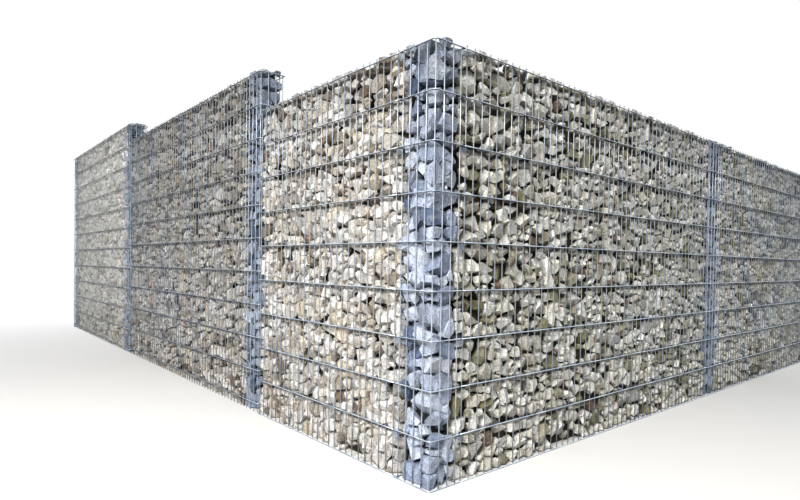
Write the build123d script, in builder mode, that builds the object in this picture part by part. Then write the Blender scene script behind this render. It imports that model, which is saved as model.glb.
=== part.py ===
"""Gabion wall: two legs of stone held in welded wire mesh, meeting at a corner column.

Each leg is a row of bays between columns. A bay is a slab of light broken stone between two
flat sheets of mesh. A column is a narrow cage of mesh filled with dark stone. A sheet has
upright wires inside and cross wires outside, welded where they touch.

The origin is the middle of the corner column's foot, on the ground. The left leg runs along
+Y and the right leg along +X. The wall's outer faces look towards -X and -Y.
"""

import os
from dataclasses import dataclass

from build123d import *

os.makedirs("parts", exist_ok=True)

# Welded mesh, measured between the middles of its wires
upright_pitch = 50.0
row_pitch = 200.0
upright_wire = 5.0
row_wire = 6.0
row_overhang = 9.0
panel_stub = 18.0

# Columns, measured between the middles of their outermost uprights
column_long = 200.0
column_deep = 150.0
column_stub = 4.0
ring_bend = 5.0

# How a bay meets its columns
seam_gap = 17.0
tail_gap = 1.0
stone_heap = 30.0

# Height of the lowest mesh, and the steps up to the higher bays of the left leg
low_mesh = 1800.0
step_first = 250.0
step_second = 175.0

# Widths of the sheets, measured as the columns are
sheet_short = 1250.0
sheet_full = 2500.0
sheet_cut = 2200.0

# Places that follow from the sizes above
cage_skin = upright_wire / 2 + row_wire
half_long = column_long / 2 + cage_skin
half_deep = column_deep / 2 + cage_skin
upright_line = column_deep / 2
row_line = half_deep - row_wire / 2
stone_depth = column_deep - upright_wire
bay_margin = seam_gap + upright_wire / 2
corner_tail = cage_skin + bay_margin - row_overhang - tail_gap
low_top = row_wire / 2 + low_mesh
middle_top = low_top + step_first
high_top = middle_top + step_second

# Each leg's plane has its X along the leg and its Z up, and its middle line through the origin
left_leg = Plane(origin=(0, 0, 0), x_dir=(0, 1, 0), z_dir=(0, 0, 1))
right_leg = Plane(origin=(0, half_deep - half_long, 0), x_dir=(1, 0, 0), z_dir=(0, 0, 1))

# Which way the wall's outer face looks along a leg plane's Y
left_outer = 1
right_outer = -1


@dataclass(frozen=True)
class Bay:
    """A run of light stone between two sheets of mesh."""

    name: str
    leg: Plane
    outer: int
    start: float
    sheet: float
    top: float

    @property
    def length(self) -> float:
        """The distance between the faces of the two columns beside it."""
        return self.sheet + 2 * bay_margin

    @property
    def middle(self) -> float:
        """The bay's middle, measured along its leg."""
        return self.start + self.length / 2


@dataclass(frozen=True)
class Column:
    """A cage of mesh filled with dark stone, with its middle at a place along its leg."""

    name: str
    leg: Plane
    middle: float
    top: float


def write(piece: BuildPart, name: str) -> None:
    """Label a finished piece and write its file."""
    piece.part.label = name
    export_step(piece.part, f"parts/{name}.step")


def mesh_count(width: float) -> int:
    """How many meshes a sheet of this width is cut to."""
    return max(1, round(width / upright_pitch))


def row_heights(top: float) -> list[float]:
    """Heights of the cross wires, one pitch apart from the top down to the ground."""
    count = int((top - row_wire / 2) // row_pitch) + 1
    return [top - k * row_pitch for k in range(count)]


def make_bay_stones(bay: Bay) -> None:
    """The slab of stone between the sheets, heaped a little over the top wires."""
    with BuildPart(bay.leg) as stones:
        with Locations((bay.middle, 0, 0)):
            Box(
                bay.length,
                stone_depth,
                bay.top + stone_heap,
                align=(Align.CENTER, Align.CENTER, Align.MIN),
            )
    write(stones, f"stones_{bay.name}")


def make_sheet(bay: Bay, side: int, face: str) -> None:
    """One sheet of mesh: its upright wires on the stone, its cross wires on the uprights."""
    count = mesh_count(bay.sheet)
    with BuildPart(bay.leg) as uprights:
        with Locations((bay.middle, side * upright_line, 0)):
            with GridLocations(bay.sheet / count, upright_pitch, count + 1, 1):
                Box(
                    upright_wire,
                    upright_wire,
                    bay.top + panel_stub,
                    align=(Align.CENTER, Align.CENTER, Align.MIN),
                )
    write(uprights, f"uprights_{bay.name}_{face}")

    with BuildPart(bay.leg) as rows:
        with Locations(*[(bay.middle, side * row_line, z) for z in row_heights(bay.top)]):
            Box(bay.sheet + 2 * row_overhang, row_wire, row_wire)
    write(rows, f"rows_{bay.name}_{face}")


def make_column_stones(column: Column) -> None:
    """The dark stone inside a column's cage, heaped over its top ring."""
    with BuildPart(column.leg) as stones:
        with Locations((column.middle, 0, 0)):
            Box(
                column_long - upright_wire,
                stone_depth,
                column.top + stone_heap,
                align=(Align.CENTER, Align.CENTER, Align.MIN),
            )
    write(stones, f"stones_{column.name}")


def cage_places(column: Column) -> list[tuple[float, float]]:
    """Places of the cage's upright wires: every mesh point round its edge."""
    long_count = mesh_count(column_long)
    deep_count = mesh_count(column_deep)
    places = []
    for i in range(long_count + 1):
        for j in range(deep_count + 1):
            if i in (0, long_count) or j in (0, deep_count):
                along = column.middle + (i / long_count - 0.5) * column_long
                across = (j / deep_count - 0.5) * column_deep
                places.append((along, across))
    return places


def make_cage(column: Column, has_tails: bool) -> None:
    """A column's mesh: upright wires inside, bent rings outside, and at the corner the tails
    of its rings, which reach past the last upright to the cross wires of each bay."""
    with BuildPart(column.leg) as uprights:
        with Locations(*cage_places(column)):
            Box(
                upright_wire,
                upright_wire,
                column.top + column_stub,
                align=(Align.CENTER, Align.CENTER, Align.MIN),
            )
    write(uprights, f"uprights_{column.name}")

    with BuildPart() as rings:
        for z in row_heights(column.top):
            with BuildSketch(column.leg.offset(z - row_wire / 2)) as ring:
                with Locations((column.middle, 0)):
                    Rectangle(2 * half_long, 2 * half_deep)
                chamfer(ring.vertices(), ring_bend)
                with Locations((column.middle, 0)):
                    Rectangle(
                        column_long + upright_wire,
                        column_deep + upright_wire,
                        mode=Mode.SUBTRACT,
                    )
                if has_tails:
                    with Locations((column_long / 2, row_line)):
                        Rectangle(corner_tail, row_wire, align=(Align.MIN, Align.CENTER))
                    with Locations((row_wire / 2 - half_long, -column_deep / 2)):
                        Rectangle(row_wire, corner_tail, align=(Align.CENTER, Align.MAX))
            extrude(amount=row_wire)
    write(rings, f"rings_{column.name}")


def lay_out(name: str, leg: Plane, outer: int, corner_face: float, plan: list) -> tuple:
    """Set a leg's bays and columns out one after another, from the corner column's face."""
    bays = []
    columns = []
    start = corner_face
    for number, (sheet, bay_top, column_top) in enumerate(plan, 1):
        bay = Bay(f"{name}_{number}", leg, outer, start, sheet, bay_top)
        middle = start + bay.length + half_long
        bays.append(bay)
        columns.append(Column(f"column_{name}_{number}", leg, middle, column_top))
        start = middle + half_long
    return bays, columns


# Each entry: width of the bay's sheets, height of its top wire, height of the next top ring
left_plan = [
    (sheet_short, low_top, middle_top),
    (sheet_full, middle_top, high_top),
    (sheet_cut, high_top, high_top),
]
right_plan = [
    (sheet_full, low_top, low_top),
    (sheet_full, low_top, low_top),
]

corner = Column("column_corner", left_leg, 0.0, low_top)
left_bays, left_columns = lay_out("left", left_leg, left_outer, half_long, left_plan)
right_bays, right_columns = lay_out("right", right_leg, right_outer, half_deep, right_plan)

for bay in left_bays + right_bays:
    make_bay_stones(bay)
    make_sheet(bay, bay.outer, "front")
    make_sheet(bay, -bay.outer, "back")

for column in [corner] + left_columns + right_columns:
    make_column_stones(column)
    make_cage(column, has_tails=column is corner)
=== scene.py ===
"""Looks of the gabion wall: broken stone packed behind galvanised welded mesh.

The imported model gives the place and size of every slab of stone, sheet of mesh and cage. Each
is dressed here with the real thing: single stones, round wires and the binders that lace the
sheets to the columns. Lengths are in metres.
"""

import logging
import math
from dataclasses import dataclass, field, replace
from enum import Enum
from itertools import combinations

import bpy
import numpy as np
from bpy.types import Material, NodeSocket, NodeTree, Object
from mathutils import Matrix, Vector

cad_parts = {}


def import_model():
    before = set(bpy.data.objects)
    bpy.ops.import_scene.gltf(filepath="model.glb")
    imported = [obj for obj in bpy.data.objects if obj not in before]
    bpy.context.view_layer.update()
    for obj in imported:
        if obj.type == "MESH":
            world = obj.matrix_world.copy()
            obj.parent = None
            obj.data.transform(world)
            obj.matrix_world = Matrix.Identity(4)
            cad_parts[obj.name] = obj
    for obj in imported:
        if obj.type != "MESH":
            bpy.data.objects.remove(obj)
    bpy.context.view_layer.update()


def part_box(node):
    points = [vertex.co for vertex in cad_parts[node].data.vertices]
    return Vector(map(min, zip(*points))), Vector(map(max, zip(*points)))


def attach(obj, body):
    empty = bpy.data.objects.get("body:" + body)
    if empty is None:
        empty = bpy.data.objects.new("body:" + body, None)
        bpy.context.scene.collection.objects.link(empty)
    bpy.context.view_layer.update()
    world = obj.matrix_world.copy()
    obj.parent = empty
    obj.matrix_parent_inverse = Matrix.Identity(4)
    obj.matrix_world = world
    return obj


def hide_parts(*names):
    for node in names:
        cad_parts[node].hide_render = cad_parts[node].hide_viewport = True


LOG = logging.getLogger("gabion_wall")
BODY = "root"
TINT = "tint"
DROP = "drop"
UP = (0.0, 0.0, 1.0)
WHITE = (1.0, 1.0, 1.0, 1.0)
Pair = tuple[float, float]
Triple = tuple[float, float, float]
Arrays = tuple[np.ndarray, ...]

# The sockets of a node that mixes two colours
MIX_FACTOR, MIX_A, MIX_B, MIX_RESULT = 0, 6, 7, 2

# Added to the seed of a bay or column for how its wires stray
WIRE_SEED = 50


class StoneKind(Enum):
    """The two kinds of stone, each with a name for its finish."""

    LIGHT = "light_stone"
    DARK = "dark_stone"


class Face(Enum):
    """The two faces of a bay; the outer one is the front."""

    FRONT = "front"
    BACK = "back"


def linear(colour: str) -> tuple[float, float, float, float]:
    """Turn an sRGB hex colour into linear RGBA.

    Args:
        colour: the colour, such as "#c0ffee".

    Returns:
        Red, green, blue and an alpha of one, as linear light.
    """
    channels = [int(colour[i : i + 2], 16) / 255 for i in (1, 3, 5)]
    light = [c / 12.92 if c <= 0.04045 else ((c + 0.055) / 1.055) ** 2.4 for c in channels]
    return (*light, 1.0)


def add_node(
    tree: NodeTree, kind: str, inputs: tuple | dict = (), out: int | str = 0, **values
) -> NodeSocket | None:
    """Add one shader node with its settings and links.

    Args:
        tree: the node tree that gets the node.
        kind: the node's type, without its ShaderNode prefix.
        inputs: what feeds the inputs, in their order or by number: outputs or values.
        out: the number or name of the output that is wanted.
        **values: a property of the node, or an input's name with spaces as underscores.

    Returns:
        The wanted output, or None from a node without any.
    """
    node = tree.nodes.new("ShaderNode" + kind)
    fed = dict(inputs if isinstance(inputs, dict) else enumerate(inputs))
    for key, value in values.items():
        if hasattr(node, key):
            setattr(node, key, value)
        else:
            fed[key.replace("_", " ")] = value
    for key, value in fed.items():
        if isinstance(value, NodeSocket):
            tree.links.new(value, node.inputs[key])
        else:
            node.inputs[key].default_value = value
    return node.outputs[out] if node.outputs else None


def new_material(name: str) -> tuple[Material, NodeTree]:
    """Start a material with an empty node tree."""
    material = bpy.data.materials.new(name)
    material.use_nodes = True
    material.node_tree.nodes.clear()
    return material, material.node_tree


@dataclass(frozen=True)
class Limestone:
    """Broken cream limestone, dry and matt.

    Real finish: fresh fracture faces with grains, small pits and rusty stains, never shiny. To
    the eye: near-white facets, mottled at a few millimetres, that go ochre in patches.
    """

    name: str = "broken_limestone"
    stain: str = "#b49a6c"
    roughness: float = 0.92
    specular: float = 0.2
    blotch_mm: float = 15.0
    grain_mm: float = 5.0
    pit_mm: float = 17.0
    patch_blotches: float = 2.6
    relief_mm: float = 4.5
    mottle: Pair = (0.72, 1.26)
    patch_edge: Pair = (0.52, 0.68)
    darkest: float = 0.5
    lightest: float = 1.2
    stained: float = 0.2
    # How light the stone stays in the painted shadow under each cross wire, and how far from its
    # line in millimetres the shadow starts to fade and is gone
    under_wire_shade: float = 0.34
    wire_shadow_mm: Pair = (5.0, 13.0)
    row_pitch_mm: float = 200.0

    def build(self) -> Material:
        """Each stone's tint, with its painted shade, times blotches and grain, stained in patches,
        with pitted relief, and darkened in a band under each cross wire as a painted shadow of the
        wire."""
        material, tree = new_material(self.name)
        place = add_node(tree, "TexCoord", out="Object")
        tint = add_node(tree, "Attribute", attribute_name=TINT)
        blotch, grain, pits, patch = (
            add_node(
                tree, "TexNoise", Vector=place, Scale=1000 / size, Detail=detail, Roughness=0.65
            )
            for size, detail in (
                (self.blotch_mm, 4.0),
                (self.grain_mm, 2.0),
                (self.pit_mm, 3.0),
                (self.blotch_mm * self.patch_blotches, 3.0),
            )
        )
        mixed = add_node(tree, "Math", (grain, blotch), operation="ADD")
        level = add_node(tree, "MapRange", (mixed, *self.mottle, self.darkest, self.lightest))
        stone = add_node(tree, "VectorMath", (tint, level), operation="MULTIPLY")
        amount = add_node(tree, "MapRange", (patch, *self.patch_edge, 0.0, self.stained))
        mix = {MIX_FACTOR: amount, MIX_A: stone, MIX_B: linear(self.stain)}
        colour = add_node(tree, "Mix", mix, MIX_RESULT, data_type="RGBA")
        # Painted shadow under each cross wire: darkest along lines one row pitch apart, fading out
        # above and below
        drop = add_node(tree, "Attribute", out="Fac", attribute_name=DROP)
        from_wire_shadow = add_node(tree, "Math", (drop, 0.5), operation="PINGPONG")
        band = (reach / self.row_pitch_mm for reach in self.wire_shadow_mm)
        wire_shadow = add_node(tree, "MapRange", (from_wire_shadow, *band, self.under_wire_shade))
        shaded = add_node(tree, "VectorMath", (colour, wire_shadow), operation="MULTIPLY")
        height = add_node(tree, "Math", (pits, mixed, mixed), operation="MULTIPLY_ADD")
        relief = add_node(tree, "Bump", Height=height, Strength=1.0, Distance=self.relief_mm / 1000)
        shader = add_node(
            tree,
            "BsdfPrincipled",
            Base_Color=shaded,
            Normal=relief,
            Roughness=self.roughness,
            Specular_IOR_Level=self.specular,
        )
        add_node(tree, "OutputMaterial", Surface=shader)
        return material


@dataclass(frozen=True)
class BlueStone(Limestone):
    """Broken blue-grey stone, split along its beds.

    Real finish: fine dense stone with pale dust and specks, faintly glossy on fresh faces. To
    the eye: cool grey facets, smoother than the limestone, with cloudy pale patches.
    """

    name: str = "broken_blue_stone"
    stain: str = "#e3e8f4"
    roughness: float = 0.8
    specular: float = 0.3
    blotch_mm: float = 24.0
    grain_mm: float = 6.0
    pit_mm: float = 26.0
    relief_mm: float = 5.0
    darkest: float = 0.6
    lightest: float = 1.22
    stained: float = 0.25
    under_wire_shade: float = 0.65


@dataclass(frozen=True)
class GalvanisedWire:
    """Hot-dip zinc on drawn steel wire.

    Real finish: zinc weathered to a dull blue-grey, with clouds and faint spangle. To the eye:
    a soft bright line along the top of each cross wire, partly painted highlight, and a dark one
    below, painted shade, both carried by the wire's tint.
    """

    name: str = "galvanised_wire"
    bright: str = "#d3dde8"
    dull: str = "#98a8ba"
    metallic: float = 0.6
    roughness: float = 0.42
    cloud_mm: float = 70.0
    cloud_edge: Pair = (0.35, 0.65)
    spangle_mm: float = 4.0
    relief_mm: float = 0.12

    def build(self) -> Material:
        """Two zinc greys mixed in soft clouds, times the wire's tint with its painted highlight and
        shade, with spangle's relief.
        """
        material, tree = new_material(self.name)
        place = add_node(tree, "TexCoord", out="Object")
        cloud = add_node(
            tree, "TexNoise", Vector=place, Scale=1000 / self.cloud_mm, Detail=3.0, Roughness=0.6
        )
        spangle = add_node(tree, "TexVoronoi", Vector=place, Scale=1000 / self.spangle_mm)
        amount = add_node(tree, "MapRange", (cloud, *self.cloud_edge))
        mix = {MIX_FACTOR: amount, MIX_A: linear(self.dull), MIX_B: linear(self.bright)}
        colour = add_node(tree, "Mix", mix, MIX_RESULT, data_type="RGBA")
        # The tint holds painted shade on the undersides and painted highlight on the tops of cross
        # wires
        tint = add_node(tree, "Attribute", attribute_name=TINT)
        zinc = add_node(tree, "VectorMath", (colour, tint), operation="MULTIPLY")
        relief = add_node(
            tree, "Bump", Height=spangle, Strength=0.6, Distance=self.relief_mm / 1000
        )
        shader = add_node(
            tree,
            "BsdfPrincipled",
            Base_Color=zinc,
            Normal=relief,
            Metallic=self.metallic,
            Roughness=self.roughness,
        )
        add_node(tree, "OutputMaterial", Surface=shader)
        return material


@dataclass(frozen=True)
class ShadeFill:
    """The fill deep inside the wall, seen only as the dark behind the gaps.

    Real finish: the same stone, deep in the wall's shadow; this dark slab is painted shade in its
    place. To the eye: nearly black, with lumps.
    """

    name: str
    colour: str
    lump_mm: float = 40.0
    lump_edge: Pair = (0.2, 0.75)
    levels: Pair = (1.6, 0.1)

    def build(self) -> Material:
        """A dark colour that lightens from the joints to the middle of lumps as big as stones."""
        material, tree = new_material(self.name)
        place = add_node(tree, "TexCoord", out="Object")
        lump = add_node(tree, "TexVoronoi", Vector=place, Scale=1000 / self.lump_mm)
        level = add_node(tree, "MapRange", (lump, *self.lump_edge, *self.levels))
        base = linear(self.colour)[:3]
        colour = add_node(tree, "VectorMath", (base, level), operation="MULTIPLY")
        shader = add_node(tree, "BsdfPrincipled", Base_Color=colour, Roughness=1.0)
        add_node(tree, "OutputMaterial", Surface=shader)
        return material


@dataclass
class Surface:
    """Points and the polygons between them, as whole arrays.

    corners holds the point numbers of all polygons one after another, and totals how many
    belong to each. tints, if any, holds one linear colour for each corner, which may carry painted
    shade and highlight, and drops how many rows each point lies below the line of the painted
    shadow under the uppermost cross wire.
    """

    points: np.ndarray
    corners: np.ndarray
    totals: np.ndarray
    tints: np.ndarray | None = None
    rows_below_shadow: np.ndarray | None = None

    def flipped(self) -> "Surface":
        """The same surface with its faces turned round."""
        tints = None if self.tints is None else self.tints[::-1]
        return replace(self, corners=self.corners[::-1], totals=self.totals[::-1], tints=tints)

    def put(self, name: str, is_smooth: bool = False) -> Object:
        """Make a mesh object at the origin from the arrays.

        Args:
            name: the piece's name.
            is_smooth: whether its faces are shaded smoothly.

        Returns:
            The new object, linked to the scene.
        """
        mesh = bpy.data.meshes.new(name)
        starts = np.concatenate([[0], np.cumsum(self.totals)[:-1]]).astype(np.int32)
        mesh.vertices.add(len(self.points))
        mesh.vertices.foreach_set("co", self.points.astype(np.float32).ravel())
        mesh.loops.add(len(self.corners))
        mesh.loops.foreach_set("vertex_index", self.corners.astype(np.int32))
        mesh.polygons.add(len(self.totals))
        mesh.polygons.foreach_set("loop_start", starts)
        mesh.polygons.foreach_set("loop_total", self.totals.astype(np.int32))
        mesh.polygons.foreach_set("use_smooth", np.full(len(self.totals), is_smooth))
        mesh.update(calc_edges=True)
        if self.tints is not None:
            layer = mesh.color_attributes.new(TINT, "FLOAT_COLOR", "CORNER")
            rgba = np.ones((len(self.tints), 4), np.float32)
            rgba[:, :3] = self.tints
            layer.data.foreach_set("color", rgba.ravel())
        if self.rows_below_shadow is not None:
            layer = mesh.attributes.new(DROP, "FLOAT", "POINT")
            layer.data.foreach_set("value", self.rows_below_shadow.astype(np.float32))
        piece = bpy.data.objects.new(name, mesh)
        bpy.context.scene.collection.objects.link(piece)
        LOG.info("%s: %d triangles", name, np.sum(self.totals - 2))
        return piece


def dress(piece: Object, material: Material, node: str) -> None:
    """Give a piece its material, hang it on the body that it rides on, and hide the node that it
    stands for.
    """
    piece.data.materials.append(material)
    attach(piece, BODY)
    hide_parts(node)


@dataclass(frozen=True)
class Place:
    """A box's own axes in the wall: along the leg, inwards from one face, and up."""

    origin: Triple
    along: Triple
    inwards: Triple
    size: Triple

    def from_back(self) -> "Place":
        """The same box, measured inwards from its back face."""
        far = Vector(self.origin) + Vector(self.inwards) * self.size[1]
        return replace(self, origin=tuple(far), inwards=tuple(-Vector(self.inwards)))

    def longer(self, extra: float) -> "Place":
        """The same box, reaching this much further at each end."""
        start = tuple(Vector(self.origin) - Vector(self.along) * extra)
        return replace(self, origin=start, size=(self.size[0] + 2 * extra, *self.size[1:]))

    def halved(self, depth: float) -> "Place":
        """The part of the box within this depth of its face."""
        return replace(self, size=(self.size[0], depth, self.size[2]))

    def settled(self, surface: Surface) -> Surface:
        """Put a surface made in the box's own axes in its place, with its faces outwards."""
        turned = surface.points @ np.array([self.along, self.inwards, UP])
        placed = replace(surface, points=turned + np.array(self.origin))
        is_mirrored = Vector(self.along).cross(Vector(self.inwards)).z < 0
        return placed.flipped() if is_mirrored else placed


@dataclass(frozen=True)
class Palette:
    """Tints of one kind of stone, with how common each is, the tint that is left of them deep in
    the wall, where painted shade darkens the recesses along with some grime, and how much painted
    shade darkens them at the top, evenly less down to a share of the height. spread is how much
    stones of one tint differ, and facet_spread how much a stone's facets do."""

    tints: dict[str, float]
    dirt: Triple
    damp: float
    damp_from: float
    spread: float = 0.08
    facet_spread: float = 0.12
    dirt_depth: float = 0.045

    def draw(self, count: int, random: np.random.Generator) -> np.ndarray:
        """Pick one tint for each stone and make it a little lighter or darker.

        Args:
            count: how many stones.
            random: the source of the picks.

        Returns:
            One row of linear red, green and blue for each stone.
        """
        shares = np.array(list(self.tints.values()))
        colours = np.array([linear(colour)[:3] for colour in self.tints])
        picks = random.choice(len(colours), count, p=shares / shares.sum())
        darkest, lightest = 0.7, 1.25
        lightness = 1 + self.spread * random.standard_normal((count, 1))
        return colours[picks] * np.clip(lightness, darkest, lightest)


# Each palette's recess tint and its darkening at the top are painted shade, the recess tint along
# with some grime
CREAM = Palette(
    {
        "#fdfbf8": 0.38, "#f4f1ea": 0.23, "#e5ddd0": 0.14, "#ebe1cd": 0.06,
        "#cbc3b7": 0.07, "#dfdedd": 0.07, "#a3998d": 0.04, "#8d7a6e": 0.01,
    },
    dirt=(0.26, 0.22, 0.18), damp=0.36, damp_from=0.6,
)
OLIVE = Palette(
    {
        "#fdfcf6": 0.5, "#f0eee2": 0.2, "#d4d1c2": 0.11, "#aeab91": 0.06,
        "#8d8a6c": 0.05, "#e2e2de": 0.07, "#7d6b60": 0.01,
    },
    dirt=(0.15, 0.135, 0.05), damp=0.3, damp_from=0.1,
)
SLATE = Palette(
    {"#b6c3d8": 0.34, "#9cabc2": 0.24, "#cad5e6": 0.12, "#8090a8": 0.17, "#5c6a80": 0.13},
    dirt=(0.08, 0.09, 0.12), damp=0.5, damp_from=0.5,
)
BLUE = Palette(
    {
        "#dce7fb": 0.39, "#c8d4ed": 0.3, "#e4edf9": 0.09,
        "#a3b1cc": 0.12, "#6b7c9a": 0.08, "#cacfdc": 0.03,
    },
    dirt=(0.08, 0.09, 0.12), damp=0.6, damp_from=0.5,
)


@dataclass(frozen=True)
class Breakage:
    """How one kind of stone is broken and packed.

    room is the mean distance between neighbours, and spread how much sizes differ. axes gives a
    stone's half lengths against half its room. cuts is how many facets it has besides the six
    of its block, whose sides stand askew by skew, and facets the most that it keeps. lean is
    how far two neighbours' faces lean apart, gap sets how far they stay apart, missing the share of
    stones that leave a hole, setback how far some stand back, setback_most the furthest, tilt
    how far the faces behind the mesh lean, stretch how much wider than tall the stones lie,
    touch how many radii from the mesh a stone may be to rest on it, heap the most that tops lie
    below the box's, clean how deep the stones stay free of the painted shade of the recesses,
    and core how far every facet is from the middle at least.
    """

    room: float
    spread: float
    cuts: int
    lean: float
    gap: float
    missing: float
    axes: Triple = (1.5, 1.15, 0.95)
    facets: int = 15
    skew: float = 0.16
    setback: float = 0.006
    setback_most: float = 0.03
    heap: float = 0.022
    tilt: float = 0.3
    stretch: float = 1.0
    touch: float = 9.0
    clean: float = 0.016
    core: float = 0.004


SMALL = Breakage(
    room=0.042, spread=0.5, cuts=9, lean=0.26, gap=0.003, missing=0.008, setback=0.005, stretch=1.3
)
MEDIUM = replace(SMALL, room=0.048, gap=0.005)
LARGE = Breakage(
    room=0.047, spread=0.38, cuts=9, lean=0.28, gap=0.0055, missing=0.008, stretch=1.25,
    axes=(1.6, 1.2, 0.9),
)
SLABS = Breakage(
    room=0.066, spread=0.32, cuts=8, lean=0.19, gap=0.005, missing=0.02, setback=0.004,
    axes=(1.7, 1.35, 1.0), heap=0.014, tilt=0.16, touch=1.5, clean=0.011,
)


def unit(vectors: np.ndarray) -> np.ndarray:
    """The same vectors with a length of one."""
    return vectors / np.linalg.norm(vectors, axis=-1, keepdims=True)


def nearest(points: np.ndarray, count: int) -> np.ndarray:
    """Numbers of the nearest other points of each point."""
    square = np.sum(points**2, axis=1)
    apart = square[:, None] + square[None] - 2 * points @ points.T
    np.fill_diagonal(apart, np.inf)
    count = min(count, len(points) - 1)
    return np.argpartition(apart, count - 1, axis=1)[:, :count]


def settle(
    seeds: np.ndarray, reach: np.ndarray, low: np.ndarray, high: np.ndarray
) -> np.ndarray:
    """Shake balls until they hardly press into each other.

    Each ball moves away from every neighbour that it overlaps, by two fifths of the overlap,
    and stays within its bounds. Neighbours are found again every eighth step of forty.

    Args:
        seeds: the balls' middles.
        reach: their radii.
        low: the lowest place of each middle.
        high: the highest.

    Returns:
        The new middles.
    """
    shakes, shakes_per_search, neighbours, push = 40, 8, 12, 0.4
    for step in range(shakes):
        if step % shakes_per_search == 0:
            beside = nearest(seeds, neighbours)
        away = seeds[:, None] - seeds[beside]
        apart = np.linalg.norm(away, axis=2) + 1e-9
        press = np.clip(reach[:, None] + reach[beside] - apart, 0, None) / apart
        seeds = np.clip(seeds + push * np.sum(away * press[..., None], axis=1), low, high)
    return seeds


def spiral(count: int) -> np.ndarray:
    """Directions spread evenly all round, at equal steps of height along a spiral."""
    step = np.arange(count) + 0.5
    height = 1 - 2 * step / count
    turn = np.pi * (1 + math.sqrt(5)) * step
    flat = np.sqrt(1 - height**2)
    return np.stack([flat * np.cos(turn), flat * np.sin(turn), height], axis=1)


@dataclass
class Solids:
    """Convex solids, each the space within a set of planes.

    normals has one unit vector for each plane of each solid, distances how far each plane lies
    from the solid's seed, and most how many planes a solid keeps. Each corner found has its
    solid in owner, its place from the seed in points and its three planes in sides.
    """

    normals: np.ndarray
    distances: np.ndarray
    most: int
    owner: np.ndarray = field(init=False)
    points: np.ndarray = field(init=False)
    sides: np.ndarray = field(init=False)

    def __post_init__(self) -> None:
        """Find the planes that show, and where each three of them meet."""
        self.keep_shown()
        triples = np.array(list(combinations(range(self.most), 3)))
        at_once = 300
        starts = range(0, len(self.normals), at_once)
        found = [self.meetings(slice(start, start + at_once), triples) for start in starts]
        self.owner, self.points, self.sides = map(np.concatenate, zip(*found))

    def keep_shown(self) -> None:
        """Keep the planes that most of 96 evenly spread rays from the seed meet first."""
        least, out_of_reach = 1e-3, 50.0
        along = np.einsum("npk,rk->npr", self.normals, spiral(96))
        meets = self.distances[..., None] / np.maximum(along, least)
        first = np.argmin(np.where(along > least, meets, np.inf), axis=1)
        solid = np.arange(len(first))[:, None]
        hits = np.zeros(self.distances.shape)
        np.add.at(hits, (solid, first), 1)
        best = np.argsort(-hits, axis=1)[:, : self.most]
        is_shown = hits[solid, best] > 0
        self.distances = np.where(is_shown, self.distances[solid, best], out_of_reach)
        self.normals = self.normals[solid, best]

    def meetings(self, chosen: slice, triples: np.ndarray) -> Arrays:
        """Corners of some of the solids.

        Planes a, b and c meet at (da (b x c) + db (c x a) + dc (a x b)) / (a . (b x c)), which
        is a corner where no other plane cuts it off.

        Args:
            chosen: which solids.
            triples: every three planes.

        Returns:
            For each corner its solid, its place from the seed, and its three planes.
        """
        normals, distances = self.normals[chosen], self.distances[chosen]
        a, b, c = (normals[:, triples[:, k]] for k in range(3))
        da, db, dc = (distances[:, triples[:, k], None] for k in range(3))
        least_volume, slack = 1e-4, 1e-7
        volume = np.sum(a * np.cross(b, c), axis=2, keepdims=True)
        is_sharp = np.abs(volume) > least_volume
        where = da * np.cross(b, c) + db * np.cross(c, a) + dc * np.cross(a, b)
        where = where / np.where(is_sharp, volume, 1.0)
        beyond = np.einsum("nkj,ntj->ntk", normals, where) - distances[:, None]
        solid, which = np.nonzero(is_sharp[..., 0] & np.all(beyond < slack, axis=2))
        return solid + chosen.start, where[solid, which], triples[which]

    def polygons(self) -> Arrays:
        """Join each plane's corners, in the order of their turn round its normal.

        Returns:
            Corner numbers, how many each polygon has, and each polygon's solid.
        """
        key = (self.owner[:, None] * self.most + self.sides).ravel()
        corner = np.repeat(np.arange(len(self.points)), 3)
        normal = self.normals.reshape(-1, 3)
        count = np.bincount(key, minlength=len(normal))
        middle = [np.bincount(key, self.points[corner, k], len(normal)) for k in range(3)]
        middle = np.stack(middle, axis=1) / np.maximum(count, 1)[:, None]
        helper = np.where(np.abs(normal[:, 2:]) < 0.8, [[0.0, 0.0, 1.0]], [[1.0, 0.0, 0.0]])
        first = unit(np.cross(helper, normal))
        second = np.cross(normal, first)
        arm = self.points[corner] - middle[key]
        turn = np.arctan2(np.sum(arm * second[key], axis=1), np.sum(arm * first[key], axis=1))
        order = np.lexsort((turn, key))
        order = order[count[key[order]] >= 3]
        faces, totals = np.unique(key[order], return_counts=True)
        return corner[order], totals, faces // self.most


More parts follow.
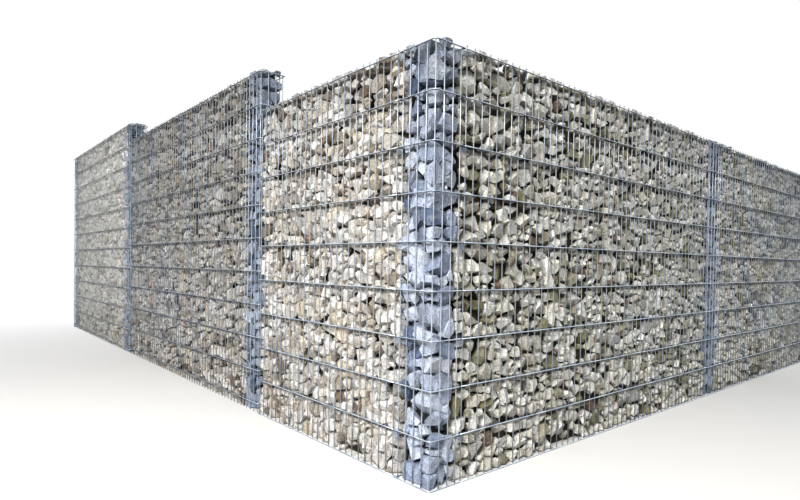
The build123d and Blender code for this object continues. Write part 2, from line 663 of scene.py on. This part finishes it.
@dataclass
class StonePack:
    """Stones packed behind one face, or in a column behind all four.

    Balls are shaken into the box, and each becomes a convex solid: a turned block with its
    edges broken off, cut back where it meets its neighbours, and pressed against the mesh. drip
    is the height of the line of the painted shadow under the uppermost cross wire, and the others
    follow one row pitch apart. foot is how far the lowest stones stay off the ground.
    """

    place: Place
    breakage: Breakage
    palette: Palette
    seed: int
    wire_shadow: float
    row_pitch: float
    is_column: bool = False
    foot: float = 0.0005

    @property
    def size(self) -> np.ndarray:
        """The box that the stones are packed in, before they are stretched along it."""
        return np.array(self.place.size) / (self.breakage.stretch, 1, 1)

    def scatter(self) -> Arrays:
        """Shake balls of different sizes into the box, and take some out.

        Returns:
            The balls' middles and radii.
        """
        size, broken = self.size, self.breakage
        layers = size[1] / broken.room if self.is_column else 1.0
        count = round(size[0] * size[2] / broken.room**2 * layers)
        smallest, largest, from_edge = 0.45, 2.1, 0.75
        reach = np.exp(broken.spread * self.random.standard_normal(count))
        reach = np.clip(reach, smallest, largest) * (broken.room / 2)
        margin = np.minimum(reach[:, None] * from_edge, size * 0.5)
        seeds = self.random.uniform(size=(count, 3)) * size
        seeds = settle(seeds, reach, margin, size - margin)
        kept = self.random.random(count) > broken.missing
        return seeds[kept], reach[kept]

    def own_planes(self, reach: np.ndarray) -> Arrays:
        """The planes of each stone's own block and of the breaks across its edges.

        A block's side lies at its half length. A break with normal n lies where an ellipsoid
        with the same half lengths ends, at the root of the sum of (half length times n)
        squared, pulled in or out at random.

        Args:
            reach: the stones' radii.

        Returns:
            Normals and distances.
        """
        random, broken = self.random, self.breakage
        count = len(reach)
        axes = np.array(broken.axes) * reach[:, None] * random.uniform(0.85, 1.15, (count, 3))
        sides = np.concatenate([np.eye(3), -np.eye(3)])[None].repeat(count, axis=0)
        sides = sides + broken.skew * random.standard_normal(sides.shape)
        breaks = random.standard_normal((count, broken.cuts, 3))
        normals = unit(np.concatenate([sides, breaks], axis=1))
        distances = np.linalg.norm(normals * axes[:, None], axis=2)
        distances *= random.uniform(0.78, 1.04, distances.shape)
        turns, _ = np.linalg.qr(random.standard_normal((count, 3, 3)))
        return np.einsum("nij,npj->npi", turns, normals), distances

    def contact_planes(self, seeds: np.ndarray, reach: np.ndarray) -> Arrays:
        """The planes between each stone and its neighbours.

        A plane passes the line to the neighbour at the two stones' share of it, less up to two
        and a half gaps, and leans a little, so that the gaps open into wedges.

        Args:
            seeds: the stones' middles.
            reach: their radii.

        Returns:
            Normals and distances.
        """
        random, broken = self.random, self.breakage
        neighbours, widest = 10, 2.5
        beside = nearest(seeds, neighbours)
        away = seeds[beside] - seeds[:, None]
        apart = np.linalg.norm(away, axis=2, keepdims=True)
        towards = away / apart
        share = reach[:, None] / (reach[:, None] + reach[beside])
        normals = unit(towards + broken.lean * random.standard_normal(towards.shape))
        split = apart[..., 0] * share * np.sum(normals * towards, axis=2)
        return normals, split - broken.gap * random.uniform(0, widest, split.shape)

    def wall_planes(self, seeds: np.ndarray, reach: np.ndarray) -> Arrays:
        """The planes of the box, whose top ones differ in height, as a heap does. Those behind
        a mesh lean, and lie about as far from a stone's middle as its own sides."""
        random, broken, size = self.random, self.breakage, self.size
        normals = np.concatenate([-np.eye(3), np.eye(3)])[None].repeat(len(seeds), axis=0)
        distances = np.concatenate([seeds, size - seeds], axis=1)
        distances[:, 5] -= random.uniform(0, broken.heap, len(seeds))
        pressed = [0, 1, 3, 4] if self.is_column else [1]
        normals[:, pressed] += broken.tilt * random.standard_normal((len(seeds), len(pressed), 3))
        normals = unit(normals)
        own = reach[:, None] * random.uniform(0.7, 1.1, (len(seeds), len(pressed)))
        is_beside = distances[:, pressed] < broken.touch * reach[:, None]
        distances[:, pressed] = np.where(is_beside, own, distances[:, pressed])
        return normals, distances

    def press(self, solids: Solids, seeds: np.ndarray, reach: np.ndarray) -> np.ndarray:
        """Move each stone beside a mesh against it, and a few a little behind it.

        Args:
            solids: the stones.
            seeds: their middles.
            reach: their radii.

        Returns:
            The stones' corners in the box's own axes.
        """
        points = solids.points + seeds[solids.owner]
        size, broken = self.size, self.breakage
        for axis in (0, 1) if self.is_column else (1,):
            lowest = np.full(len(seeds), np.inf)
            np.minimum.at(lowest, solids.owner, points[:, axis])
            highest = np.full(len(seeds), -np.inf)
            np.maximum.at(highest, solids.owner, points[:, axis])
            back = broken.setback * self.random.exponential(1.0, len(seeds))
            back = np.minimum(back, broken.setback_most)
            near = broken.touch * reach
            shift = np.where(seeds[:, axis] < near, back - lowest, 0.0)
            if self.is_column:
                is_far = size[axis] - seeds[:, axis] < near
                shift = np.where(is_far, size[axis] - back - highest, shift)
            points[:, axis] += shift[solids.owner]
        return np.clip(points, (0.0, 0.0, self.foot), size)

    def build(self) -> Surface:
        """Make the stones.

        Returns:
            Their surface in the world, with a tint at each corner: the stone's own, varied
            from face to face, darker with depth as painted shade of the recesses along with some
            grime, and darker towards the top as painted shade.
        """
        self.random = np.random.default_rng(self.seed)
        broken, palette, size = self.breakage, self.palette, self.size
        seeds, reach = self.scatter()
        own = self.own_planes(reach)
        contact = self.contact_planes(seeds, reach)
        wall = self.wall_planes(seeds, reach)
        normals, distances = (np.concatenate(kind, axis=1) for kind in zip(own, contact, wall))
        solids = Solids(normals, np.maximum(distances, broken.core), broken.facets)
        points = self.press(solids, seeds, reach)
        corners, totals, owners = solids.polygons()

        tints = palette.draw(len(seeds), self.random)[owners]
        facet_tones = self.random.standard_normal((len(tints), 1))
        tints = tints * (1 + palette.facet_spread * facet_tones)
        depth = points[corners, 1]
        if self.is_column:
            edges = np.minimum(points[corners, :2], size[:2] - points[corners, :2])
            depth = np.min(edges, axis=1)
        # Painted shade of the recesses, along with some grime: darker with depth behind the mesh
        dirt = np.clip((depth[:, None] - broken.clean) / palette.dirt_depth, 0, 1)
        left = 1 - dirt * (1 - np.array(palette.dirt))
        # Painted shade: darker towards the top
        rise = points[corners, 2:] / size[2] - palette.damp_from
        left *= 1 - palette.damp * np.clip(rise / (1 - palette.damp_from), 0, 1)
        tints = np.repeat(tints, totals, axis=0) * left
        points = points * (broken.stretch, 1, 1)
        # How many rows each point lies below the painted shadow line of the uppermost cross wire
        rows_below_shadow = (self.wire_shadow - points[:, 2]) / self.row_pitch
        return self.place.settled(Surface(points, corners, totals, tints, rows_below_shadow))


def closed_tubes(points: np.ndarray) -> Surface:
    """Join the points of tubes, given by tube, section and turn, and close both ends."""
    number = np.arange(points.size // 3).reshape(points.shape[:3])
    here, there = number[:, :-1], number[:, 1:]
    skin = np.stack([here, np.roll(here, -1, 2), np.roll(there, -1, 2), there], axis=-1)
    ends = np.concatenate([number[:, 0, ::-1], number[:, -1]])
    corners = np.concatenate([skin.ravel(), ends.ravel()])
    totals = np.concatenate([np.full(skin.size // 4, 4), np.full(len(ends), ends.shape[1])])
    return Surface(points.reshape(-1, 3), corners, totals)


def wires(
    paths: np.ndarray,
    radius: float,
    sides: int,
    helper: Triple,
    shade_and_highlight: Pair,
) -> Surface:
    """Carry a round section along many paths of equally many points.

    At each point the section is a circle square to the path: cosine times one cross direction
    plus sine times the other. Both ends are closed. Where the section faces upwards by u, its
    tone goes from the lower to the upper one as 3t^2 - 2t^3, with t = (u + 0.25) / 0.55: painted
    shade on the underside and painted highlight on top.

    Args:
        paths: one array of points for each wire.
        radius: the wire's radius.
        sides: how many sides the section has.
        helper: a direction that no path runs along, which sets how the sections turn.
        shade_and_highlight: how light the wire is drawn below, as painted shade, and above, as
            painted highlight.

    Returns:
        The wires' surface, with its faces outwards and a tint at each corner.
    """
    ahead = unit(np.gradient(paths, axis=1))
    first = unit(np.cross(ahead, np.array(helper)))
    second = np.cross(ahead, first)
    turn = (2 * np.pi * np.arange(sides) / sides)[:, None]
    circle = np.cos(turn) * first[:, :, None] + np.sin(turn) * second[:, :, None]
    surface = closed_tubes(paths[:, :, None] + radius * circle)
    # Painted shade on the underside, painted highlight on top
    rise = np.clip((circle[..., 2].ravel() + 0.25) / 0.55, 0, 1)
    tone = shade_and_highlight[0] + (shade_and_highlight[1] - shade_and_highlight[0]) * rise**2 * (3 - 2 * rise)
    return replace(surface, tints=np.repeat(tone[surface.corners, None], 3, axis=1))


# A dark slab of painted shade behind the gaps between stones
def shade_fill(place: Place, thickness: float, inset: float) -> Surface:
    """A lumpy upright slab in the middle of a box, so that no gap shows daylight.

    Its section is a rounded oblong: the cosine and sine of the turn, each to the power of 0.3.
    At turn t and height h its thickness is multiplied by one plus a fifth of
    sin(9t + 31h) sin(17h).

    Args:
        place: the box of stone.
        thickness: how thick the slab is.
        inset: how far its ends stay inside the box.

    Returns:
        Its surface in the world.
    """
    around, levels, foot, shorter = 64, 30, 0.002, 0.06
    turn = np.linspace(0, 2 * np.pi, around, endpoint=False)
    rise = np.linspace(0, 1, levels)[:, None]
    length, depth, height = place.size
    ripple = 1 + 0.2 * np.sin(9 * turn + 31 * rise) * np.sin(17 * rise)
    swing, sway = (np.sign(wave) * np.abs(wave) ** 0.3 for wave in (np.cos(turn), np.sin(turn)))
    points = np.zeros((levels, around, 3))
    points[..., 0] = length / 2 + (length / 2 - inset) * swing
    points[..., 1] = depth / 2 + thickness / 2 * ripple * sway
    points[..., 2] = foot + rise * (height - shorter)
    return place.settled(closed_tubes(points[None]))


def arc(start: float, stop: float, count: int, radius: float) -> np.ndarray:
    """Points along part of a circle, each the radius times cosine and sine of its turn."""
    turn = np.linspace(start, stop, count)
    return radius * np.stack([np.cos(turn), np.sin(turn)], axis=1)


@dataclass(frozen=True)
class Finishes:
    """The wall's materials apart from the stone of its legs."""

    blue_stone: Material
    zinc: Material
    # Both fills are dark slabs of painted shade
    light_fill: Material
    dark_fill: Material


@dataclass(frozen=True)
class Leg:
    """Which way a leg of the wall runs and looks, its stone, how bright its uprights are and what
    colour dust gives them, and how bright its cross wires are below and above: painted shade on
    their undersides and painted highlight on their tops."""

    along: Vector
    inwards: Vector
    stone: Material
    palette: Palette
    upright_tone: float
    shade_and_highlight: Pair
    dust: Triple = (1.0, 1.0, 1.0)

    def place(self, node: str) -> Place:
        """The place of a node's box, with its origin at the low end of the leg's own axes."""
        low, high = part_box(node)
        size = high - low
        lengths = (abs(size.dot(self.along)), abs(size.dot(self.inwards)), size.z)
        return Place(tuple(low), tuple(self.along), tuple(self.inwards), lengths)


@dataclass
class Mesh:
    """Sizes of the welded mesh and how true its wires run. The painted shadow of a cross wire on
    the stones lies along a line wire_shadow_depth below its middle, and an upright ends up to
    shortfall below its sheet's top."""

    pitch: float = 0.05
    row_pitch: float = 0.2
    upright_radius: float = 0.0025
    row_radius: float = 0.003
    sides: int = 8
    steps: int = 6
    row_step: float = 0.1
    bow: float = 0.0012
    shortfall: float = 0.003
    wire_shadow_depth: float = 0.01

    def wire_shadow(self, place: Place) -> float:
        """Height of the line of the painted shadow below the uppermost cross wire of a node's box.
        """
        return place.origin[2] + place.size[2] - self.row_radius - self.wire_shadow_depth

    def heights(self, place: Place) -> np.ndarray:
        """Heights of the cross wires of a node's box, from its top down."""
        radius = self.row_radius
        return np.arange(place.size[2] - radius, radius - 1e-4, -self.row_pitch)

    def stray(self, random: np.random.Generator, count: int, run: np.ndarray) -> np.ndarray:
        """How far wires stray sideways along their run.

        A wire's stray is its own reach times the sine of a wave of one to three and a half
        turns, from its own start.

        Args:
            random: the source of the waves.
            count: how many wires.
            run: how far along the wire each point is, from 0 to 1.

        Returns:
            One row for each wire.
        """
        turns = random.uniform(1.0, 3.5, (count, 1))
        start = random.uniform(0, 1, (count, 1))
        reach = self.bow * random.uniform(0.2, 1.0, (count, 1))
        return reach * np.sin(2 * np.pi * (turns * run + start))

    def uprights(
        self, place: Place, spots: np.ndarray, random: np.random.Generator, tone: float
    ) -> Surface:
        """Upright wires at places given along and inwards, with level ends.

        Args:
            place: the node's box.
            spots: one row of along and inwards for each wire.
            random: the source of how the wires stray.
            tone: how light the zinc is.

        Returns:
            The wires' surface in the world.
        """
        radius, rise = self.upright_radius, np.linspace(0, 1, self.steps)
        paths = np.zeros((len(spots), len(rise), 3))
        paths[..., :2] = spots[:, None]
        paths[..., 0] += self.stray(random, len(spots), rise)
        paths[..., 0] = np.clip(paths[..., 0], radius, place.size[0] - radius)
        short = random.uniform(0, self.shortfall, (len(spots), 1))
        paths[..., 2] = rise * (place.size[2] - short)
        surface = wires(paths, radius, self.sides, (1.0, 0.3, 0.0), (tone, tone))
        surface.points[:, 2] = np.clip(surface.points[:, 2], 0.0, place.size[2])
        return place.settled(surface)

    def rows(
        self, place: Place, random: np.random.Generator, shade_and_highlight: Pair
    ) -> Surface:
        """Level cross wires, one pitch apart from the top of a node's box down."""
        radius, heights = self.row_radius, self.heights(place)
        run = np.linspace(0, 1, max(8, round(place.size[0] / self.row_step)))
        paths = np.zeros((len(heights), len(run), 3))
        paths[..., 0] = run * place.size[0]
        paths[..., 1] = place.size[1] / 2
        paths[..., 2] = heights[:, None] + self.stray(random, len(heights), run)
        paths[..., 2] = np.clip(paths[..., 2], radius, place.size[2] - radius)
        return place.settled(wires(paths, radius, self.sides, UP, shade_and_highlight))


@dataclass(frozen=True)
class Clip:
    """A short coil of wire that laces a sheet's last upright to the column's, which stands
    apart from it."""

    apart: float = 0.028
    half_width: float = 0.018
    half_depth: float = 0.0065
    radius: float = 0.0014
    sides: int = 5
    pitch: float = 0.0058
    turns: int = 4
    steps: int = 12
    drop: float = 0.006
    # Painted shade below and painted highlight above on the coils
    shade_and_highlight: Pair = (0.5, 1.1)
    lowest: float = 0.1

    def coils(self, place: Place, spots: np.ndarray) -> Surface:
        """Coils hanging below places given along, inwards and up.

        At turn t a coil is at half width times cos t along, half depth times sin t inwards, and
        one pitch lower for each whole turn.

        Args:
            place: the box whose axes the places are in.
            spots: one place for each coil.

        Returns:
            Their surface in the world.
        """
        turn = np.linspace(0, 2 * np.pi * self.turns, self.steps * self.turns + 1)
        along, inwards = self.half_width * np.cos(turn), self.half_depth * np.sin(turn)
        up = -self.drop - self.pitch * turn / (2 * np.pi)
        paths = spots[:, None] + np.stack([along, inwards, up], axis=1)
        return place.settled(wires(paths, self.radius, self.sides, UP, self.shade_and_highlight))


@dataclass
class Section:
    """What a bay and a column share, with a seed for what is left to chance."""

    name: str
    leg: Leg
    seed: int
    mesh: Mesh
    breakage: Breakage
    finishes: Finishes

    def add_wires(self, surface: Surface, name: str, node: str) -> None:
        """Add a piece of galvanised wire that stands for a node."""
        dress(surface.put(name, True), self.finishes.zinc, node)


@dataclass
class Bay(Section):
    """One bay: light stones between two sheets of mesh. facets gives the most facets of the
    stones in front and of those at the back."""

    facets: tuple[int, int]
    clip: Clip
    overlap: float = 0.008
    bulge: float = 0.007
    fill_thickness: float = 0.04
    fill_inset: float = 0.005

    def build_stones(self) -> None:
        """Pack a layer of stones behind each face, and dark fill between the layers."""
        node = f"stones_{self.name}"
        slab = self.leg.place(node)
        half = slab.size[1] / 2 + self.overlap
        wire_shadow = self.mesh.wire_shadow(self.leg.place(f"rows_{self.name}_front"))
        for number, (face, place) in enumerate(zip(Face, (slab, slab.from_back()))):
            box = place.halved(half).longer(self.bulge)
            broken = replace(self.breakage, facets=self.facets[number])
            seed = self.seed + number
            pack = StonePack(box, broken, self.leg.palette, seed, wire_shadow, self.mesh.row_pitch)
            piece = pack.build().put(f"light_stones_{self.name}_{face.value}")
            dress(piece, self.leg.stone, node)
        # A dark slab of painted shade between the layers
        fill = shade_fill(slab, self.fill_thickness, self.fill_inset)
        piece = fill.put(f"shade_fill_{self.name}")
        dress(piece, self.finishes.light_fill, node)

    def build_sheet(self, number: int, face: Face) -> None:
        """Make the uprights and cross wires of one sheet, and lace each of its ends to its
        column below every second cross wire.

        Args:
            number: the sheet's own number, from which its wires stray.
            face: the face that it is on.
        """
        random = np.random.default_rng(self.seed + WIRE_SEED + number)
        mesh, clip, ending = self.mesh, self.clip, f"{self.name}_{face.value}"
        sheet, rows = self.leg.place(f"uprights_{ending}"), self.leg.place(f"rows_{ending}")
        radius, middle = mesh.upright_radius, sheet.size[1] / 2
        count = round((sheet.size[0] - 2 * radius) / mesh.pitch) + 1
        along = np.linspace(radius, sheet.size[0] - radius, count)
        spots = np.stack([along, np.full(count, middle)], axis=1)
        surface = mesh.uprights(sheet, spots, random, self.leg.upright_tone)
        surface.tints = surface.tints * self.leg.dust
        self.add_wires(surface, f"upright_wires_{ending}", f"uprights_{ending}")
        surface = mesh.rows(rows, random, self.leg.shade_and_highlight)
        self.add_wires(surface, f"cross_wires_{ending}", f"rows_{ending}")

        heights = np.arange(rows.size[2] - mesh.row_radius, clip.lowest, -2 * mesh.row_pitch)
        ends = np.array([radius - clip.apart / 2, sheet.size[0] - radius + clip.apart / 2])
        spots = np.stack(np.meshgrid(ends, [middle], heights), axis=-1).reshape(-1, 3)
        self.add_wires(clip.coils(sheet, spots), f"binders_{ending}", f"rows_{ending}")

    def build(self) -> None:
        """Build the whole bay."""
        self.build_stones()
        for number, face in enumerate(Face):
            self.build_sheet(number, face)


@dataclass
class Column(Section):
    """One column: dark stones in a cage of uprights and bent cross wires."""

    palette: Palette
    bend: float = 0.016
    bend_steps: int = 7
    hook: float = 0.006
    hook_steps: int = 5
    end_step: float = 0.002
    wear: float = 0.004
    fill_thickness: float = 0.05
    fill_inset: float = 0.045
    cage_tone: float = 0.82

    def build_stones(self) -> None:
        """Pack the cage with dark stones round a dark middle."""
        node = f"stones_{self.name}"
        slab = self.leg.place(node)
        wire_shadow = self.mesh.wire_shadow(self.leg.place(f"rings_{self.name}"))
        pitch = self.mesh.row_pitch
        pack = StonePack(slab, self.breakage, self.palette, self.seed, wire_shadow, pitch, True)
        piece = pack.build().put(f"dark_stones_{self.name}", True)
        worn = piece.modifiers.new("worn_edges", "BEVEL")
        worn.width = self.wear
        worn.segments = 1
        worn.limit_method = "NONE"
        worn.harden_normals = True
        dress(piece, self.finishes.blue_stone, node)
        # A dark slab of painted shade in the middle of the cage
        fill = shade_fill(slab, self.fill_thickness, self.fill_inset)
        piece = fill.put(f"shade_fill_{self.name}")
        dress(piece, self.finishes.dark_fill, node)

    def build_uprights(self) -> None:
        """Stand an upright at each mesh point round the cage, those at the corners a little
        inside, so that the bends of the cross wires clear them."""
        node = f"uprights_{self.name}"
        place = self.leg.place(node)
        radius, pitch = self.mesh.upright_radius, self.mesh.pitch
        counts = [round((place.size[k] - 2 * radius) / pitch) for k in (0, 1)]
        i, j = np.meshgrid(*(np.arange(c + 1) for c in counts), indexing="ij")
        i_edge, j_edge = (i % counts[0] == 0), (j % counts[1] == 0)
        tuck = (self.bend - self.mesh.row_radius - radius) * (1 - math.sqrt(0.5))
        inset = np.where(i_edge & j_edge, tuck, 0.0)
        along = radius + i * pitch + np.where(i == 0, inset, -inset)
        inside = radius + j * pitch + np.where(j == 0, inset, -inset)
        spots = np.stack([along, inside], axis=-1)[i_edge | j_edge]
        random = np.random.default_rng(self.seed + WIRE_SEED)
        surface = self.mesh.uprights(place, spots, random, self.cage_tone)
        self.add_wires(surface, f"upright_wires_{self.name}", node)

    def bent_pair(self, place: Place) -> np.ndarray:
        """The plan of a ring: two wires, each bent at one corner.

        The first runs in from the far end of the front face, turns through a quarter circle at
        the near front corner and runs to the back; the second goes the other way round, from
        the near back corner. A ring box that reaches past the cage gives the first its tails.
        Both of the first's ends are hooked back through a half circle.

        Args:
            place: the box of the rings.

        Returns:
            Two rows of points, as along and inwards.
        """
        radius = self.mesh.row_radius
        quarter = arc(-np.pi / 2, -np.pi, self.bend_steps, self.bend)
        hook = radius + self.hook + arc(-np.pi / 2, np.pi / 2, self.hook_steps, self.hook)
        length, depth = place.size[:2]
        front = hook[::-1] + (length - 2 * self.hook - 2 * radius, 0)
        side = hook[:, ::-1] + (0, depth - 2 * self.hook - 2 * radius)
        corner = radius + self.bend + quarter
        first = [*front, (length / 2, radius), *corner, (radius, depth / 2), *side]

        cage = self.leg.place(f"uprights_{self.name}").size
        far, deep = (cage[k] + 2 * radius + radius for k in (0, 1))
        steps = [2 * radius + k * self.end_step for k in range(self.hook_steps)]
        start, last = [(step, deep) for step in steps], [(far, step) for step in steps[::-1]]
        corner = np.array([far, deep]) - self.bend - quarter
        second = [*start, (length / 2, deep), *corner, (far, depth / 2), *last]
        return np.array([first, second])

    def build_rings(self) -> None:
        """Bend the rings round the cage, one pitch apart from the top down."""
        node = f"rings_{self.name}"
        place = self.leg.place(node)
        heights, plan = self.mesh.heights(place), self.bent_pair(place)
        paths = np.zeros((len(heights), *plan.shape[:2], 3))
        paths[..., :2] = plan
        paths[..., 2] = heights[:, None, None]
        paths = paths.reshape(-1, plan.shape[1], 3)
        surface = wires(paths, self.mesh.row_radius, self.mesh.sides, UP, self.leg.shade_and_highlight)
        self.add_wires(place.settled(surface), f"bent_wires_{self.name}", node)

    def build(self) -> None:
        """Build the whole column."""
        self.build_stones()
        self.build_uprights()
        self.build_rings()


@dataclass(frozen=True)
class Viewpoint:
    """The photograph's camera, found from the mesh: eye, heading and lens."""

    eye: Triple = (-1.609, -1.699, 0.914)
    heading_deg: float = 40.48
    pitch_deg: float = -0.97
    roll_deg: float = 0.86
    focal_px: float = 558.3
    centre_y_px: float = 272.7
    frame_px: Pair = (800.0, 500.0)
    sensor_mm: float = 36.0
    clip: Pair = (0.05, 200.0)

    def build(self) -> None:
        """Set the camera up. Heading turns from +Y towards +X; roll lifts the right side."""
        heading, pitch, roll = (
            math.radians(angle) for angle in (self.heading_deg, self.pitch_deg, self.roll_deg)
        )
        ahead = Vector((math.sin(heading), math.cos(heading), 0))
        right = Vector((math.cos(heading), -math.sin(heading), 0))
        up = Vector(UP)
        forward = ahead * math.cos(pitch) + up * math.sin(pitch)
        raised = up * math.cos(pitch) - ahead * math.sin(pitch)
        side = right * math.cos(roll) + raised * math.sin(roll)
        top = raised * math.cos(roll) - right * math.sin(roll)
        camera = bpy.data.cameras.new("camera")
        camera.sensor_width = self.sensor_mm
        camera.lens = self.focal_px * self.sensor_mm / self.frame_px[0]
        camera.shift_y = (self.centre_y_px - self.frame_px[1] / 2) / self.frame_px[0]
        camera.clip_start, camera.clip_end = self.clip
        holder = bpy.data.objects.new("camera", camera)
        turned = Matrix((side, top, -forward)).transposed().to_4x4()
        holder.matrix_world = Matrix.Translation(self.eye) @ turned
        bpy.context.scene.collection.objects.link(holder)
        bpy.context.scene.camera = holder


@dataclass(frozen=True)
class Studio:
    """A pale floor, a round soft box at the upper left, which fades along the legs as daylight
    did, and a wide soft light from above."""

    floor_seen: str = "#f3f2ef"
    floor_bounce: str = "#9c968b"
    key_colour: str = "#fffcf8"
    key_strength: float = 4.6
    key_size: float = 3.0
    key_place: Triple = (-5.95, -3.0, 5.45)
    top_colour: str = "#eef3fb"
    top_strength: float = 0.75
    top_angle_deg: float = 110.0
    world_colour: str = "#e8eef8"
    world_strength: float = 0.25
    reach: float = 60.0
    white_from: float = 3.5
    white_at: float = 7.5

    def seen(self, tree: NodeTree) -> NodeSocket:
        """One for the rays that the camera sees straight on, in a reflection or through glass."""
        path = add_node(tree, "LightPath").node
        straight, mirrored, through = (
            path.outputs[f"Is {kind} Ray"] for kind in ("Camera", "Glossy", "Transmission")
        )
        either = add_node(tree, "Math", (straight, mirrored), operation="MAXIMUM")
        return add_node(tree, "Math", (either, through), operation="MAXIMUM")

    def build_floor(self) -> None:
        """Lay the floor: pale to the camera, white far off, and a duller bounce on the wall."""
        size = self.reach
        corners = [(-size, -size, 0), (size, -size, 0), (size, size, 0), (-size, size, 0)]
        floor = Surface(np.array(corners), np.arange(4), np.array([4])).put("floor")
        material, tree = new_material("floor")
        seen = self.seen(tree)
        mix = {MIX_FACTOR: seen, MIX_A: linear(self.floor_bounce), MIX_B: linear(self.floor_seen)}
        colour = add_node(tree, "Mix", mix, MIX_RESULT, data_type="RGBA")
        near = add_node(tree, "BsdfDiffuse", Color=colour)
        white = add_node(tree, "Emission", Color=WHITE, Strength=1.0)
        place = add_node(tree, "TexCoord", out="Object")
        distance = add_node(tree, "VectorMath", (place,), "Value", operation="LENGTH")
        far = add_node(tree, "MapRange", (distance, self.white_from, self.white_at))
        amount = add_node(tree, "Math", (far, seen), operation="MULTIPLY")
        both = add_node(tree, "MixShader", (amount, near, white))
        add_node(tree, "OutputMaterial", Surface=both)
        floor.data.materials.append(material)

    def build_world(self) -> None:
        """Fill with even light, and show white to the camera and in reflections."""
        world = bpy.data.worlds.new("studio")
        bpy.context.scene.world = world
        world.use_nodes = True
        tree = world.node_tree
        tree.nodes.clear()
        even = {0: linear(self.world_colour), 1: self.world_strength}
        fill = add_node(tree, "Background", even)
        white = add_node(tree, "Background", Color=WHITE, Strength=1.0)
        both = add_node(tree, "MixShader", (self.seen(tree), fill, white))
        add_node(tree, "OutputWorld", Surface=both)

    def hang_lamp(
        self, name: str, kind: str, colour: str, source: Vector, **settings
    ) -> Object:
        """Hang one lamp.

        Args:
            name: the lamp's name.
            kind: its type.
            colour: its colour.
            source: the direction that its light comes from.
            **settings: its other properties.

        Returns:
            The lamp's object, at the origin.
        """
        lamp = bpy.data.lights.new(name, kind)
        lamp.color = linear(colour)[:3]
        for key, value in settings.items():
            setattr(lamp, key, value)
        holder = bpy.data.objects.new(name, lamp)
        holder.rotation_euler = source.to_track_quat("Z", "Y").to_euler()
        bpy.context.scene.collection.objects.link(holder)
        return holder

    def build_lamps(self) -> None:
        """Stand the soft box, aimed at the corner column's foot, where it gives its strength in
        watts per square metre: a lamp's power is that times pi times the distance squared. Then
        hang the wide light from above."""
        place = Vector(self.key_place)
        power = self.key_strength * math.pi * place.length_squared
        key = self.hang_lamp(
            "key", "AREA", self.key_colour, place, shape="DISK", size=self.key_size, energy=power
        )
        key.location = place
        key.visible_camera = False
        sky = {"energy": self.top_strength, "angle": math.radians(self.top_angle_deg)}
        self.hang_lamp("top", "SUN", self.top_colour, Vector(UP), **sky)

    def build(self) -> None:
        """Build the whole studio."""
        self.build_floor()
        self.build_world()
        self.build_lamps()
        bpy.context.scene.view_settings.view_transform = "Standard"


def build_wall() -> None:
    """Build every bay and column. The left leg's full bay has painted shade that darkens it from
    the foot up, with duller wires, and its cut bay a brightened copy of the limestone, painted
    light, with brighter uprights and dust on them. The right leg has olive stones in a brightened
    copy of the limestone, painted light."""
    finishes = Finishes(
        blue_stone=BlueStone().build(),
        zinc=GalvanisedWire().build(),
        light_fill=ShadeFill("shade_fill_light", "#393222").build(),
        dark_fill=ShadeFill("shade_fill_dark", "#191b20").build(),
    )
    sunny = Limestone()
    # A brighter copy of the limestone for the right leg, which the key lights less: painted light
    mossy = Limestone(
        "mossy_limestone", darkest=0.62, lightest=1.52, under_wire_shade=0.28, wire_shadow_mm=(10, 18)
    )
    # A brighter copy of the limestone for the far bay, where the key fades: painted light
    pale = Limestone("pale_limestone", darkest=0.62, lightest=1.45, under_wire_shade=0.3)
    along_y, along_x = Vector((0, 1, 0)), Vector((1, 0, 0))
    # Each leg's cross wires get painted shade below and painted highlight above
    left = Leg(along_y, along_x, sunny.build(), CREAM, 0.66, (0.05, 1.4))
    right = Leg(along_x, along_y, mossy.build(), OLIVE, 0.56, (0.03, 1.6))
    # The full bay's palette: painted shade that darkens it from the foot up, and darker recesses as
    # painted shade
    damp = replace(CREAM, damp=0.5, damp_from=0.0, dirt=(0.1, 0.085, 0.07))
    # Its uprights and cross wires are duller: painted shade
    damp_left = replace(left, palette=damp, upright_tone=0.5, shade_and_highlight=(0.03, 0.8))
    # The far bay's palette without the painted shade at the top; its uprights are brighter, as
    # painted light, and dust tints them
    dry, dust = replace(damp, damp=0.0), (1.0, 0.93, 0.82)
    far_left = Leg(along_y, along_x, pale.build(), dry, 0.95, (0.03, 0.7), dust)
    bays = (
        ("left_1", left, SMALL, 18),
        ("left_2", damp_left, MEDIUM, 16),
        ("left_3", far_left, MEDIUM, 13),
        ("right_1", right, LARGE, 18),
        ("right_2", right, LARGE, 13),
    )
    mesh = Mesh()
    bay_seed, column_seed, back_facets = 100, 200, 11
    for number, (name, leg, broken, facets) in enumerate(bays):
        shared = (name, leg, bay_seed + 2 * number, mesh, broken, finishes)
        Bay(*shared, (facets, back_facets), Clip()).build()
    columns = ("corner", "left_1", "left_2", "left_3", "right_1", "right_2")
    for number, name in enumerate(columns):
        leg = right if name.startswith("right") else left
        palette = BLUE if name == "corner" else SLATE
        shared = (f"column_{name}", leg, column_seed + number, mesh, SLABS, finishes)
        Column(*shared, palette).build()


def main() -> None:
    """Build the camera, the wall and the studio, and note the sizes."""
    logging.basicConfig(level=logging.INFO, format="%(message)s")
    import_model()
    Viewpoint().build()
    build_wall()
    Studio().build()


if __name__ == "__main__":
    main()
